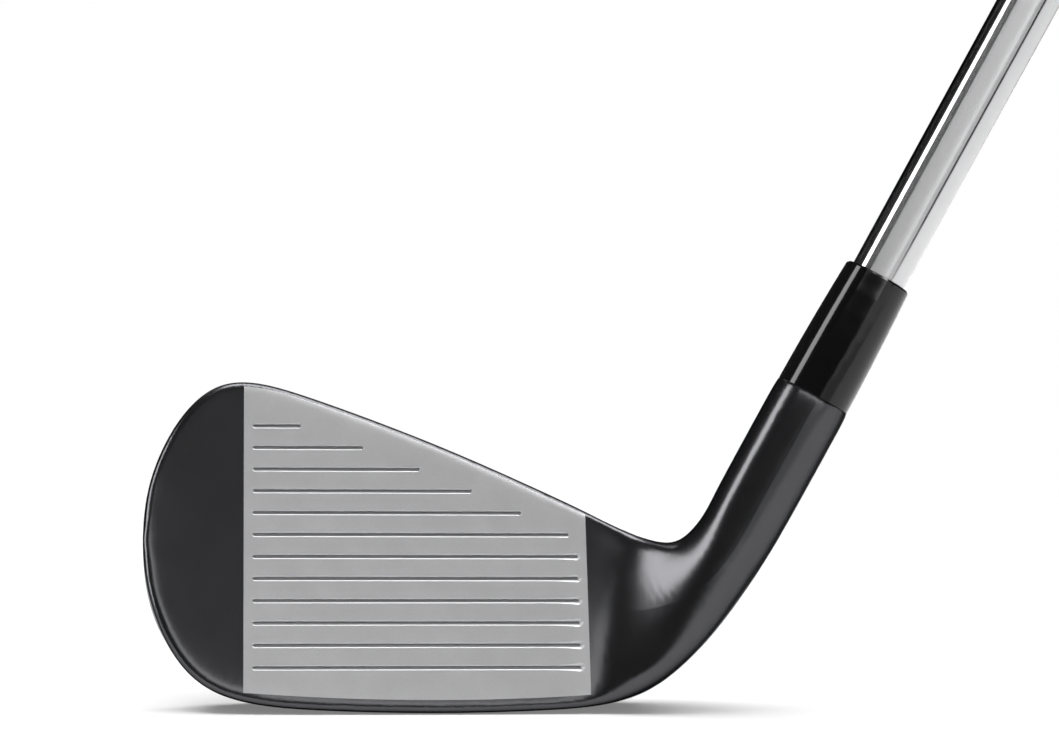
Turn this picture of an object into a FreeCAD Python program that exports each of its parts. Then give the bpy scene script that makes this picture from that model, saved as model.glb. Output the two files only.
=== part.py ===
"""Iron golf club: a hollow head with a welded score-line face, a stepped steel shaft and a rubber grip.

Head axes: +X points from toe to heel, +Y from the face to the back, +Z up, with the sole at Z = 0.
The shaft axis lies in the XZ plane and meets the ground at the origin of these head axes.
Finished pieces are then moved so that the origin is the centre of the grip's butt end.
"""
import FreeCAD
import Part
import Sketcher
import math
import os

doc = FreeCAD.newDocument("iron_club")
sheet = doc.addObject("Spreadsheet::Sheet", "sizes")
sheet.Label = "sizes"

SIZES = [
    ("lie_angle", 61.5, "shaft axis above the ground, degrees"),
    ("loft_angle", 22.0, "face leaned back from vertical, degrees"),
    ("club_length", 978.0, "ground to butt end along the shaft axis"),
    ("blade_length", 80.8, "shaft axis at the ground to the end of the toe"),
    ("toe_height", 54.0, "ground to the peak of the toe"),
    ("face_offset", 3.19, "front of the hosel to the leading edge"),
    ("sole_width", 20.0, "leading edge to trailing edge"),
    ("topline_thick", 6.6, "thickness of the top edge"),
    ("edge_roll", 3.2, "run of the rounding along the top edge"),
    ("lead_roll", 2.8, "run of the rounding up the leading edge"),
    ("toe_wall", 8.2, "thickness of the end of the toe"),
    ("hosel_radius", 6.44, "outside of the hosel"),
    ("hosel_top", 58.85, "ground to the hosel mouth along the axis"),
    ("hosel_lip", 0.25, "rounding of the hosel mouth"),
    ("bore_depth", 28.0, "hosel mouth to the bottom of the bore"),
    ("bond_film", 0.16, "epoxy between the shaft tip and the bore"),
    ("panel_toe", 64.35, "shaft axis at the ground to the toe seam of the face plate"),
    ("panel_heel", 8.15, "shaft axis at the ground to the heel seam of the face plate"),
    ("panel_low", 2.5, "lowest point of the face plate, measured up the face"),
    ("panel_bow", 1.3, "rise of the plate's lower seam at its ends"),
    ("panel_margin", 0.95, "top outline down to the plate's upper seam"),
    ("plate_thick", 2.4, "thickness of the face plate"),
    ("line_count", 12, "number of score lines"),
    ("line_first", 7.92, "lowest score line, measured up the face"),
    ("line_headroom", 8.86, "peak of the toe down to the highest score line, along the face"),
    ("line_width", 0.85, "width of a score line over its broken edges"),
    ("line_depth", 0.42, "depth of a score line"),
    ("line_slope", 25.0, "slope of a score line's walls, degrees"),
    ("lip_width", 0.10, "width of the broken edge along a score line"),
    ("lip_slope", 60.0, "slope of the broken edge, degrees"),
    ("line_inset_toe", 1.4, "toe seam to the ends of the score lines"),
    ("line_inset_heel", 1.3, "heel seam to the ends of the long score lines"),
    ("line_margin", 5.85, "top outline down to the ends of the short score lines"),
    ("seat_ledge", 2.2, "ledge in the head that carries the face plate"),
    ("upper_hollow", 1.3, "depth of the hollow behind the plate, upper part"),
    ("lower_hollow", 9.0, "depth of the hollow behind the plate, lower part"),
    ("hollow_step", 17.0, "height of the deep part of the hollow, measured up the face"),
    ("hollow_floor", 4.4, "floor of the hollow behind the plate, measured up the face"),
    ("inner_gap", 0.15, "clearance round the pieces inside the head"),
    ("weight_length", 11.0, "tungsten toe weight along the face"),
    ("insert_length", 26.0, "damping insert along the face"),
    ("tip_radius", 4.51, "outside of the shaft at its tip"),
    ("tip_taper", 0.0026, "growth in radius for each millimetre from the tip"),
    ("taper_length", 200.0, "length of the tapered tip"),
    ("shaft_wall", 0.42, "wall of the shaft tube"),
    ("butt_radius", 7.62, "outside of the shaft at the butt"),
    ("step_count", 11, "number of steps in the shaft"),
    ("step_pitch", 36.0, "spacing of the steps"),
    ("tip_gap", 0.6, "end of the shaft to the bottom of the bore"),
    ("butt_gap", 0.3, "end of the shaft to the end cap"),
    ("ferrule_length", 22.2, "ferrule along the axis"),
    ("ferrule_base", 6.27, "outside of the ferrule at the hosel"),
    ("ferrule_top", 5.65, "outside of the ferrule at its upper end"),
    ("ferrule_bow", 0.12, "swell of the ferrule's side"),
    ("ferrule_rim", 0.35, "chamfer of the ferrule's upper rim"),
    ("ferrule_gap", 0.04, "clearance between ferrule and shaft"),
    ("pin_length", 14.0, "weight pin in the shaft tip"),
    ("pin_gap", 0.03, "clearance between the pin and the tube"),
    ("tape_thick", 0.14, "grip tape"),
    ("grip_length", 268.0, "grip from its mouth to the butt end"),
    ("grip_mouth", 8.7, "outside of the grip at its mouth"),
    ("grip_butt", 13.1, "outside of the grip at the end cap"),
    ("grip_bow", -0.7, "swell of the grip's side, negative because it is hollow"),
    ("cap_flange", 13.9, "outside of the end cap"),
    ("cap_round", 0.9, "chamfer of the end cap's outer edge"),
    ("cap_thick", 2.6, "end cap along the axis"),
    ("vent_radius", 1.2, "vent hole in the end cap"),
]
for row, (alias, number, meaning) in enumerate(SIZES, start=1):
    sheet.set("A%d" % row, alias)
    sheet.set("B%d" % row, str(number))
    sheet.set("C%d" % row, meaning)
    sheet.setAlias("B%d" % row, alias)
doc.recompute()


def size(alias):
    return float(sheet.get(alias))


# ---------------------------------------------------------------- shared geometry

LIE = math.radians(size("lie_angle"))
LOFT = math.radians(size("loft_angle"))
LEAD_Y = size("face_offset") - size("hosel_radius")


def face_y(z):
    """Y of the face plane at height z."""
    return LEAD_Y + z * math.tan(LOFT)


def on_axis(along, across):
    """(x, z) of a point beside the shaft axis; across is positive towards the heel."""
    return (along * math.cos(LIE) + across * math.sin(LIE),
            along * math.sin(LIE) - across * math.cos(LIE))


def on_blade(x_share, z_share):
    return (-x_share * size("blade_length"), z_share * size("toe_height"))


# ---------------------------------------------------------------- head skin
# The skin is one closed cubic spline surface. It runs from the hosel mouth, round the heel and along
# the blade to the toe. Every row of guide points is a loop round one chord, from the top edge to the
# sole. Rows on the hosel are circles, rows on the blade have a flat face, a rounded top edge and a
# weighted back, and the rows in between are blends of both.

SIDES = 16
# A closed cubic spline runs inside its circle of guide points by this factor.
SPREAD = 3.0 / (2.0 + math.cos(2 * math.pi / SIDES))

# Rows round the hosel: share of the way from the crotch to the mouth, share of the hosel radius.
HOSEL_ROWS = [(1.0, None), (0.987, 0.998), (0.79, 1.0), (0.40, 0.997), (0.05, 0.993)]

# Rows round the heel: the top and the sole point as (along, across) the shaft axis, in shares of
# toe_height and hosel_radius, and how far the row has turned from a circle into a blade.
HEEL_ROWS = [
    ((0.610, -0.970), (0.585, 0.992), 0.0),
    ((0.513, -1.130), (0.453, 0.947), 0.15),
    ((0.485, -1.544), (0.296, 0.807), 0.45),
    ((0.475, -2.100), (0.143, 0.375), 0.80),
]
# Between the hosel's round and the face plane: where the round gives way to a straight flank, as a
# share of its radius, and the reach of the fillet that fills the valley.
STEEP = 0.85
FILLET = 9.0
# How much tighter the rounding under the heel is at the blade than at the hosel.
HEEL_ROLL = 0.1
# The most that a guide point in front of the crotch is lowered, which rounds the crotch more.
CROTCH_DIP = 1.5

# Rows along the blade: the top and the sole point in shares of blade_length and toe_height.
BLADE_ROWS = [
    ((0.045, 0.564), (-0.004, 0.044), 0.9),
    ((0.100, 0.601), (0.080, 0.017), 1.0),
    ((0.190, 0.663), (0.180, 0.006), 1.0),
    ((0.410, 0.808), (0.407, -0.004), 1.0),
    ((0.668, 0.947), (0.668, 0.007), 1.0),
    ((0.776, 0.993), (0.778, 0.023), 1.0),
    ((0.855, 0.983), (0.864, 0.061), 1.0),
    ((0.918, 0.902), (0.925, 0.141), 1.0),
    ((0.963, 0.792), (0.968, 0.260), 1.0),
    ((0.994, 0.668), (0.993, 0.380), 1.0),
]

# The last rows of the blade turn the sole into the end wall of the toe.
TOE_TURN = [0.0, 0.15, 0.45, 0.8, 1.0]
TOE_SOLE = [0.975, 0.875, 0.725, 0.575, 0.48]

# A rounder top edge runs further inside its guide points, which move out by this share of it.
CREST = 0.19

TOE_MIDDLE = 0.517
TOE_HALF = 0.054


def into_face(x, z, depth):
    """The point at a depth square behind the face, below (x, z) on the face plane."""
    return (x, face_y(z) + depth * math.cos(LOFT), z - depth * math.sin(LOFT))


def on_face(x, z, back=0.0):
    return (x, face_y(z) + back, z)


def direction(start, end):
    run = (end[0] - start[0], end[1] - start[1])
    length = math.hypot(run[0], run[1])
    return (run[0] / length, run[1] / length)


def mixed(first, second, share):
    return tuple(a + (b - a) * share for a, b in zip(first, second))


def round_loop(top, sole, radius):
    """Guide points of an oval round the chord, starting at the sole and passing the front."""
    middle = mixed(top, sole, 0.5)
    half = math.hypot(sole[0] - top[0], sole[1] - top[1]) / 2
    down = direction(top, sole)
    points = []
    for side in range(SIDES):
        turn = 2 * math.pi * side / SIDES
        reach = half * math.cos(turn)
        points.append((middle[0] + down[0] * reach, -radius * math.sin(turn), middle[1] + down[1] * reach))
    return points


def blade_loop(rows, index, toe_turn, sole_share):
    """Guide points round the blade, in the same order as round_loop."""
    top, sole = rows[index][0], rows[index][1]
    after_top, after_sole = rows[index + 1][0], rows[index + 1][1]
    top_run = direction(rows[index - 1][0], after_top)
    sole_run = direction(rows[index - 1][1], after_sole)
    inward_top = (-top_run[1], top_run[0])
    inward_sole = (sole_run[1], -sole_run[0])

    thick = size("topline_thick")
    roll = size("edge_roll")
    outward = CREST * (roll - 2.2) * (1 - toe_turn)
    top = (top[0] - inward_top[0] * outward, top[1] - inward_top[1] * outward)
    toe_wall = [size("toe_wall") * share for share in (0.29, 0.51, 0.73, 1.0)]
    depths = mixed((roll, thick / 2, thick - roll, thick), toe_wall, toe_turn)
    top_wall = [into_face(top[0], top[1], depth) for depth in depths]

    width = size("sole_width") * sole_share
    lift = [(0.225, -0.05), (0.5, -0.05), (0.8, 0.6), (1.0, 1.8)]
    flat = [on_face(sole[0], sole[1], width * share) for share, rise in lift]
    flat = [(x, y, z + rise) for (x, y, z), (share, rise) in zip(flat, lift)]
    end = [into_face(sole[0], sole[1], depth) for depth in toe_wall]
    sole_wall = [mixed(a, b, toe_turn) for a, b in zip(flat, end)]

    low = (sole[0] + inward_sole[0] * size("lead_roll"), sole[1] + inward_sole[1] * size("lead_roll"))
    high = (top[0] + inward_top[0] * roll, top[1] + inward_top[1] * roll)
    centre = mixed(low, high, 0.5)

    upper = (top_wall[3][0] + inward_top[0] * 2.5, top_wall[3][2] + inward_top[1] * 2.5)
    lower = (sole_wall[3][0] + inward_sole[0] * 3.4, sole_wall[3][2] + inward_sole[1] * 3.4)
    upper_back = depths[3] / math.cos(LOFT)
    lower_back = sole_wall[3][1] - 0.3 - face_y(lower[1])
    waist = mixed(upper, lower, 0.56)
    waist_back = upper_back + (lower_back - upper_back) * 0.17
    return [
        sole_wall[1], sole_wall[0], on_face(*sole), on_face(*low), on_face(*centre), on_face(*high),
        on_face(*top), top_wall[0], top_wall[1], top_wall[2], top_wall[3],
        on_face(upper[0], upper[1], upper_back + 0.05), on_face(waist[0], waist[1], waist_back),
        on_face(lower[0], lower[1], lower_back), sole_wall[3], sole_wall[2],
    ]


def in_front(x, y, z, rise, run):
    """The point moved on to the front: the face plane and the hosel's round, joined by a fillet.

    Within a run of the lower outline, rise being the height above it, the front rolls under the heel.
    """
    across = abs(x * math.sin(LIE) - z * math.cos(LIE))
    radius = size("hosel_radius") * SPREAD
    steep = STEEP * radius
    depth = math.sqrt(radius ** 2 - min(across, steep) ** 2)
    flank = max(0, across - steep) * steep / depth - depth
    plane = face_y(z)
    share = max(0, 1 - abs(flank - plane) / FILLET)
    under = max(0, run - rise)
    rolled = run - math.sqrt(run ** 2 - min(under, run) ** 2) - radius
    return (x, max(rolled, min(flank, plane) - share ** 2 * FILLET / 4), z)


def head_rows():
    """Every row of guide points, from the hosel mouth to the end of the toe."""
    radius = size("hosel_radius") * SPREAD
    crotch = 0.67 * size("toe_height")
    rows = []
    for share, fullness in HOSEL_ROWS:
        along = crotch + (size("hosel_top") - crotch) * share
        reach = radius * fullness if fullness else radius - size("hosel_lip")
        rows.append((on_axis(along, -reach), on_axis(along, reach), 0.0, reach))
    for top, sole, turned in HEEL_ROWS:
        upper = on_axis(top[0] * size("toe_height"), top[1] * size("hosel_radius"))
        lower = on_axis(sole[0] * size("toe_height"), sole[1] * size("hosel_radius"))
        rows.append((upper, lower, turned, radius * 0.993))
    for top, sole, turned in BLADE_ROWS:
        rows.append((on_blade(*top), on_blade(*sole), turned, radius * 0.993))
    rows.append((on_blade(1.0, TOE_MIDDLE + TOE_HALF), on_blade(1.0, TOE_MIDDLE - TOE_HALF), 1.0, radius))

    loops = []
    last = len(rows) - 1
    for index in range(last):
        top, sole, turned, reach = rows[index]
        loop = round_loop(top, sole, reach)
        if turned > 0:
            step = max(0, len(TOE_TURN) - (last - index))
            near_toe = last - index <= len(TOE_TURN)
            toe_turn = TOE_TURN[step] if near_toe else 0.0
            sole_share = TOE_SOLE[step] if near_toe else 1.0
            blade = blade_loop(rows, index, toe_turn, sole_share)
            loop = [mixed(a, b, turned) for a, b in zip(loop, blade)]
        if 0 < turned < 1:
            run = radius * (1 - HEEL_ROLL * turned ** 2)
            rises = [math.hypot(point[0] - sole[0], point[2] - sole[1]) for point in loop[2:6]]
            loop[2:6] = [in_front(*point, rise, run) for point, rise in zip(loop[2:6], rises)]
            dip = 4 * turned * (1 - turned) * CROTCH_DIP
            loop[5] = (loop[5][0], loop[5][1] - 0.5 * dip, loop[5][2] - dip)
        loops.append(loop)

    # The toe closes on a short line from front to back, inside one flat loop.
    wall = size("toe_wall")
    heights = [-1, -1, -1, -0.6, 0, 0.6, 1, 1, 1, 1, 1, 0.6, 0, -0.6, -1, -1]
    depths = [0.53, 0.31, 0.13, 0, 0, 0, 0.13, 0.31, 0.53, 0.75, 0.91, 1.02, 1.02, 1.02, 0.91, 0.75]
    closing = [0.53, 0.34, 0.23, 0.18, 0.16, 0.18, 0.23, 0.34, 0.53, 0.73, 0.83, 0.87, 0.89, 0.87, 0.83, 0.73]
    flat = []
    line = []
    for height, depth, close in zip(heights, depths, closing):
        x, z = on_blade(1.0, TOE_MIDDLE + height * TOE_HALF)
        flat.append(into_face(x, z, depth * wall))
        x, z = on_blade(1.0, TOE_MIDDLE)
        line.append(into_face(x, z, close * wall))
    return loops + [flat, line]


def skin_solid():
    """The closed outer skin of the head, split along the middle of the face and of the back."""
    loops = head_rows()
    guide = [[FreeCAD.Vector(*point) for point in loop] for loop in loops]
    spans = len(guide) - 3
    surface = Part.BSplineSurface()
    surface.buildFromPolesMultsKnots(
        guide,
        [4] + [1] * (spans - 1) + [4], [1] * (SIDES + 1),
        list(range(spans + 1)), list(range(SIDES + 1)),
        False, True, 3, 3)
    faces = []
    # The span boundary numbered v lies on guide column v + 1: the face's middle is column 4.
    for start in (SIDES // 4 - 1, 3 * SIDES // 4 - 1):
        half = surface.copy()
        half.segment(0, spans, start, start + SIDES // 2)
        faces.append(half.toShape())
    rims = [max(face.Edges, key=lambda edge: edge.BoundBox.ZMin) for face in faces]
    mouth = Part.Face(Part.Wire(Part.__sortEdges__(rims)))
    shell = Part.makeShell(faces + [mouth])
    shell.sewShape()
    if shell.ShapeType != "Shell":
        shell = shell.Shells[0]
    solid = Part.makeSolid(shell)
    if solid.Volume < 0:
        solid.reverse()
    return solid


def keep_shape(name, shape):
    """A document object for a shape that no parametric feature makes."""
    holder = doc.addObject("Part::Feature", name)
    holder.Shape = shape
    holder.Label = name
    return holder


head_skin = keep_shape("head_skin", skin_solid())

# ---------------------------------------------------------------- face plate outline


def top_curve(drop):
    """The top edge of the blade on the face plane, lowered by drop along the face."""
    lean = math.cos(LOFT)
    points = []
    for top, sole, turned in BLADE_ROWS[:7]:
        x, z = on_blade(*top)
        points.append(FreeCAD.Vector(*on_face(x, z - drop * lean)))
    first = HEEL_ROWS[-1][0]
    x, z = on_axis(first[0] * size("toe_height"), first[1] * size("hosel_radius"))
    points.insert(0, FreeCAD.Vector(*on_face(x, z - drop * lean)))
    spans = len(points) - 3
    curve = Part.BSplineCurve()
    curve.buildFromPolesMultsKnots(points, [4] + [1] * (spans - 1) + [4], list(range(spans + 1)), False, 3)
    return curve


def place_on(curve, reached):
    """The parameter where reached(point) turns true along the curve, from heel to toe."""
    low, high = curve.FirstParameter, curve.LastParameter
    for _ in range(50):
        middle = (low + high) / 2
        if reached(curve.value(middle)):
            high = middle
        else:
            low = middle
    return high


def face_point(x, up):
    """The point on the face plane at x, up the face from the ground line."""
    return FreeCAD.Vector(*on_face(x, up * math.cos(LOFT)))


def panel_face(inset):
    """The plate's outline on the face plane, drawn in by inset on all sides."""
    toe = -size("panel_toe") + inset
    heel = -size("panel_heel") - inset
    low = size("panel_low") + inset
    ends = low + size("panel_bow")
    curve = top_curve(size("panel_margin") + inset)
    start = place_on(curve, lambda point: point.x < heel)
    end = place_on(curve, lambda point: point.x < toe)
    upper = Part.Edge(curve, start, end)
    toe_top = curve.value(end)
    heel_top = curve.value(start)
    toe_low = face_point(toe, ends)
    heel_low = face_point(heel, low + size("panel_bow") * 0.6)
    lower = Part.Arc(toe_low, face_point(toe * 0.46 + heel * 0.54, low), heel_low).toShape()
    edges = [upper, Part.LineSegment(toe_top, toe_low).toShape(), lower,
             Part.LineSegment(heel_low, heel_top).toShape()]
    return Part.Face(Part.Wire(Part.__sortEdges__(edges)))


INWARD = FreeCAD.Vector(0, math.cos(LOFT), -math.sin(LOFT))


def block_behind(name, outline, ahead, depth):
    """The outline drawn out square to the face, from ahead of the face to a bound depth."""
    block = doc.addObject("Part::Extrusion", name)
    block.Base = outline
    block.DirMode = "Custom"
    block.Dir = INWARD
    block.Solid = True
    block.LengthRev = ahead
    block.setExpression("LengthFwd", depth)
    return block


plate_outline = keep_shape("plate_outline", panel_face(0.0))
hollow_outline = keep_shape("hollow_outline", panel_face(size("seat_ledge")))
plate_block = block_behind("plate_block", plate_outline, 2.0, "sizes.plate_thick * 1mm")
hollow_block = block_behind("hollow_block", hollow_outline, 2.0,
                            "(sizes.plate_thick + sizes.lower_hollow + 4) * 1mm")
doc.recompute()

# ---------------------------------------------------------------- sketches bound to the sheet


def total(terms):
    """The value of a sum of products; each term is a factor and the names it multiplies."""
    value = 0.0
    for factor, *names in terms:
        product = factor
        for name in names:
            product *= size(name)
        value += product
    return value


def formula(terms):
    parts = []
    for factor, *names in terms:
        parts.append(" * ".join(["%g" % factor] + ["sizes." + name for name in names]))
    return "(" + " + ".join(parts) + ") * 1mm"


def origin_plane(body, role):
    for feature in body.Origin.OriginFeatures:
        if feature.Role == role:
            return feature


def outline_sketch(body, name, role, corners):
    """A closed outline of straight runs whose corners are bound to the sheet."""
    sketch = body.newObject("Sketcher::SketchObject", name)
    sketch.AttachmentSupport = (origin_plane(body, role), [""])
    sketch.MapMode = "FlatFace"
    places = [FreeCAD.Vector(total(across), total(up), 0) for across, up in corners]
    for index, start in enumerate(places):
        end = places[(index + 1) % len(places)]
        sketch.addGeometry(Part.LineSegment(start, end), False)
    for index in range(len(places)):
        following = (index + 1) % len(places)
        sketch.addConstraint(Sketcher.Constraint("Coincident", index, 2, following, 1))
    for index, (across, up) in enumerate(corners):
        for kind, terms in (("DistanceX", across), ("DistanceY", up)):
            label = "%s_%d" % (kind, index)
            number = sketch.addConstraint(Sketcher.Constraint(kind, -1, 1, index, 1, total(terms)))
            sketch.renameConstraint(number, label)
            sketch.setExpression("Constraints." + label, formula(terms))
    return sketch


def scaled(terms, share):
    return [(term[0] * share,) + tuple(term[1:]) for term in terms]


def bowed(start, end, swell, count):
    """Corners between two corners, on a side that swells out by the named amount at its middle."""
    corners = []
    for number in range(1, count):
        share = number / count
        bow = [(4 * share * (1 - share), swell)]
        across = scaled(start[0], 1 - share) + scaled(end[0], share) + bow
        up = scaled(start[1], 1 - share) + scaled(end[1], share)
        corners.append((across, up))
    return corners


BUTT_X = "sizes.club_length * cos(sizes.lie_angle * 1deg) * 1mm"
BUTT_Z = "sizes.club_length * sin(sizes.lie_angle * 1deg) * 1mm"


def to_butt(piece, leaned):
    """Moves a piece from the head axes so that the origin is the centre of the butt end."""
    spin = FreeCAD.Rotation(FreeCAD.Vector(0, 1, 0), 90 - size("lie_angle") if leaned else 0)
    piece.Placement = FreeCAD.Placement(FreeCAD.Vector(0, 0, 0), spin)
    piece.setExpression("Placement.Base.x", "-" + BUTT_X)
    piece.setExpression("Placement.Base.z", "-" + BUTT_Z)
    if leaned:
        piece.setExpression("Placement.Rotation.Angle", "(90 - sizes.lie_angle) * 1deg")


def turned_piece(name, corners):
    """A piece revolved about the shaft axis, from its half outline (radius, along the shaft)."""
    body = doc.addObject("PartDesign::Body", name)
    sketch = outline_sketch(body, name + "_half", "XZ_Plane", corners)
    turn = body.newObject("PartDesign::Revolution", name + "_turn")
    turn.Profile = sketch
    turn.ReferenceAxis = (sketch, ["V_Axis"])
    turn.Angle = 360
    body.Label = name
    to_butt(body, True)
    return body


def lean_to_face(piece, x_formula, final):
    """Places a piece so that its XZ plane is the face plane and its Z axis runs up the face."""
    spin = FreeCAD.Rotation(FreeCAD.Vector(-1, 0, 0), size("loft_angle"))
    piece.Placement = FreeCAD.Placement(FreeCAD.Vector(0, 0, 0), spin)
    piece.setExpression("Placement.Base.x", x_formula + (" - " + BUTT_X if final else ""))
    piece.setExpression("Placement.Base.y", "(sizes.face_offset - sizes.hosel_radius) * 1mm")
    if final:
        piece.setExpression("Placement.Base.z", "-" + BUTT_Z)
    piece.setExpression("Placement.Rotation.Angle", "sizes.loft_angle * 1deg")


def padded_piece(name, corners, length, x_formula, final=True):
    """A piece of one section, drawn as (depth behind the face, up the face), padded towards the heel."""
    body = doc.addObject("PartDesign::Body", name)
    sketch = outline_sketch(body, name + "_section", "YZ_Plane", corners)
    pad = body.newObject("PartDesign::Pad", name + "_pad")
    pad.Profile = sketch
    pad.setExpression("Length", length)
    body.Label = name
    lean_to_face(body, x_formula, final)
    return body


def combined(kind, name, base, tool):
    joined = doc.addObject(kind, name)
    joined.Base = base
    joined.Tool = tool
    joined.Label = name
    return joined


# ---------------------------------------------------------------- head body and what is inside it

MOUTH = [(1, "hosel_top")]
BORE_END = [(1, "hosel_top"), (-1, "bore_depth")]
TIP = BORE_END + [(1, "tip_gap")]
BORE_RADIUS = [(1, "tip_radius"), (1, "tip_taper", "bore_depth"), (1, "bond_film")]

BEHIND = [(1, "plate_thick")]
DEEP = BEHIND + [(1, "lower_hollow")]
SHALLOW = BEHIND + [(1, "upper_hollow")]
FLOOR = [(1, "hollow_floor")]
DEEP_FLOOR = FLOOR + [(0.4, "lower_hollow")]
ABOVE = [(1, "toe_height"), (10,)]
GAP = [(1, "inner_gap")]

hollow_section = padded_piece(
    "hollow_section",
    [(BEHIND + [(-0.5,)], FLOOR), (DEEP, DEEP_FLOOR), (DEEP, DEEP_FLOOR + [(2,)]),
     (SHALLOW, [(1, "hollow_step"), (6,)]), (SHALLOW, ABOVE), (BEHIND + [(-0.5,)], ABOVE)],
    "(sizes.panel_toe - sizes.panel_heel) * 1mm", "-sizes.panel_toe * 1mm", final=False)
hollow = combined("Part::Common", "hollow", hollow_section, hollow_block)

bore = doc.addObject("Part::Cylinder", "bore")
bore.setExpression("Radius", formula(BORE_RADIUS))
bore.setExpression("Height", formula([(1, "bore_depth"), (5,)]))
bore.Placement = FreeCAD.Placement(
    FreeCAD.Vector(0, 0, 0), FreeCAD.Rotation(FreeCAD.Vector(0, 1, 0), 90 - size("lie_angle")))
bore.setExpression("Placement.Base.x", "(sizes.hosel_top - sizes.bore_depth) * cos(sizes.lie_angle * 1deg) * 1mm")
bore.setExpression("Placement.Base.z", "(sizes.hosel_top - sizes.bore_depth) * sin(sizes.lie_angle * 1deg) * 1mm")
bore.setExpression("Placement.Rotation.Angle", "(90 - sizes.lie_angle) * 1deg")

head_seat = combined("Part::Cut", "head_seat", head_skin, plate_block)
head_hollowed = combined("Part::Cut", "head_hollowed", head_seat, hollow)
head_body = combined("Part::Cut", "head_body", head_hollowed, bore)
to_butt(head_body, False)

SHELF = [(1, "panel_low"), (1, "panel_bow"), (1, "seat_ledge"), (1, "inner_gap")]
toe_weight = padded_piece(
    "toe_weight",
    [(BEHIND + GAP, SHELF), (BEHIND + [(0.4, "lower_hollow")], SHELF),
     (DEEP + [(-1, "inner_gap")], DEEP_FLOOR + [(2, "inner_gap")]),
     (DEEP + [(-1, "inner_gap")], DEEP_FLOOR + [(1.8,)]),
     (DEEP + [(-5,)], [(1, "hollow_step"), (-0.5,)]), (BEHIND + GAP, [(1, "hollow_step"), (-0.5,)])],
    "sizes.weight_length * 1mm", "(-sizes.panel_toe + sizes.seat_ledge + sizes.inner_gap) * 1mm")
damping_insert = padded_piece(
    "damping_insert",
    [(BEHIND + GAP, SHELF), (BEHIND + [(0.4, "lower_hollow")], SHELF),
     (DEEP + [(-3,)], SHELF + [(1.3,)]), (DEEP + [(-3,)], SHELF + [(3.5,)]),
     (DEEP + [(-6,)], [(1, "hollow_step"), (0.5,)]), (BEHIND + GAP, [(1, "hollow_step"), (0.5,)])],
    "sizes.insert_length * 1mm", "(-sizes.panel_toe + sizes.seat_ledge + sizes.weight_length + 1.9) * 1mm")

# ---------------------------------------------------------------- face plate with its score lines


def line_ends():
    """Toe end, heel end and height up the face of each score line, from the sole upwards."""
    limit = top_curve(size("line_margin"))
    toe = -size("panel_toe") + size("line_inset_toe")
    highest = size("toe_height") / math.cos(LOFT) - size("line_headroom")
    pitch = (highest - size("line_first")) / (size("line_count") - 1)
    ends = []
    for number in range(int(size("line_count"))):
        up = size("line_first") + number * pitch
        height = up * math.cos(LOFT)
        reach = limit.value(place_on(limit, lambda point: point.z > height)).x
        ends.append((toe, min(-size("panel_heel") - size("line_inset_heel"), reach), up))
    return ends


START_AHEAD = 0.3


def score_cutter(name, width, depth, slope_alias):
    """Twelve slots with round ends: width is theirs on the face plane, depth a formula from there."""
    half_width = width / 2 + START_AHEAD * math.tan(math.radians(size(slope_alias)))
    narrower = (size("line_width") - width) / 2
    body = doc.addObject("PartDesign::Body", name)
    sketch = body.newObject("Sketcher::SketchObject", name + "_outline")
    sketch.AttachmentSupport = (origin_plane(body, "XZ_Plane"), [""])
    sketch.MapMode = "FlatFace"
    sketch.AttachmentOffset = FreeCAD.Placement(FreeCAD.Vector(0, 0, START_AHEAD), FreeCAD.Rotation())
    for toe_end, heel_end, up in line_ends():
        left = FreeCAD.Vector(toe_end + narrower + width / 2, up, 0)
        right = FreeCAD.Vector(heel_end - narrower - width / 2, up, 0)
        rise = FreeCAD.Vector(0, half_width, 0)
        reach = FreeCAD.Vector(half_width, 0, 0)
        sketch.addGeometry(Part.LineSegment(left - rise, right - rise), False)
        sketch.addGeometry(Part.Arc(right - rise, right + reach, right + rise), False)
        sketch.addGeometry(Part.LineSegment(right + rise, left + rise), False)
        sketch.addGeometry(Part.Arc(left + rise, left - reach, left - rise), False)
    pad = body.newObject("PartDesign::Pad", name + "_pad")
    pad.Profile = sketch
    pad.Reversed = True
    pad.setExpression("Length", "(%s + %g) * 1mm" % (depth, START_AHEAD))
    pad.setExpression("TaperAngle", "-sizes.%s * 1deg" % slope_alias)
    lean_to_face(body, "0mm", final=False)
    return body


slot_width = size("line_width") - 2 * size("lip_width")
score_slots = score_cutter("score_slots", slot_width, "sizes.line_depth", "line_slope")
# The broken edges' cutter ends a little below the depth where its walls cross the slots' walls.
lips_depth = "sizes.lip_width / (tan(sizes.lip_slope * 1deg) - tan(sizes.line_slope * 1deg)) + 0.02"
score_lips = score_cutter("score_lips", size("line_width"), lips_depth, "lip_slope")

face_blank = combined("Part::Common", "face_blank", head_skin, plate_block)
face_edged = combined("Part::Cut", "face_edged", face_blank, score_lips)
face_plate = combined("Part::Cut", "face_plate", face_edged, score_slots)
to_butt(face_plate, False)

# ---------------------------------------------------------------- pieces turned about the shaft axis

SHAFT_AT_MOUTH = [(1, "tip_radius"), (1, "tip_taper", "bore_depth"), (-1, "tip_taper", "tip_gap")]
hosel_bond = turned_piece(
    "hosel_bond",
    [([(1, "tip_radius")], TIP), (BORE_RADIUS, TIP), (BORE_RADIUS, MOUTH), (SHAFT_AT_MOUTH, MOUTH)])

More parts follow.
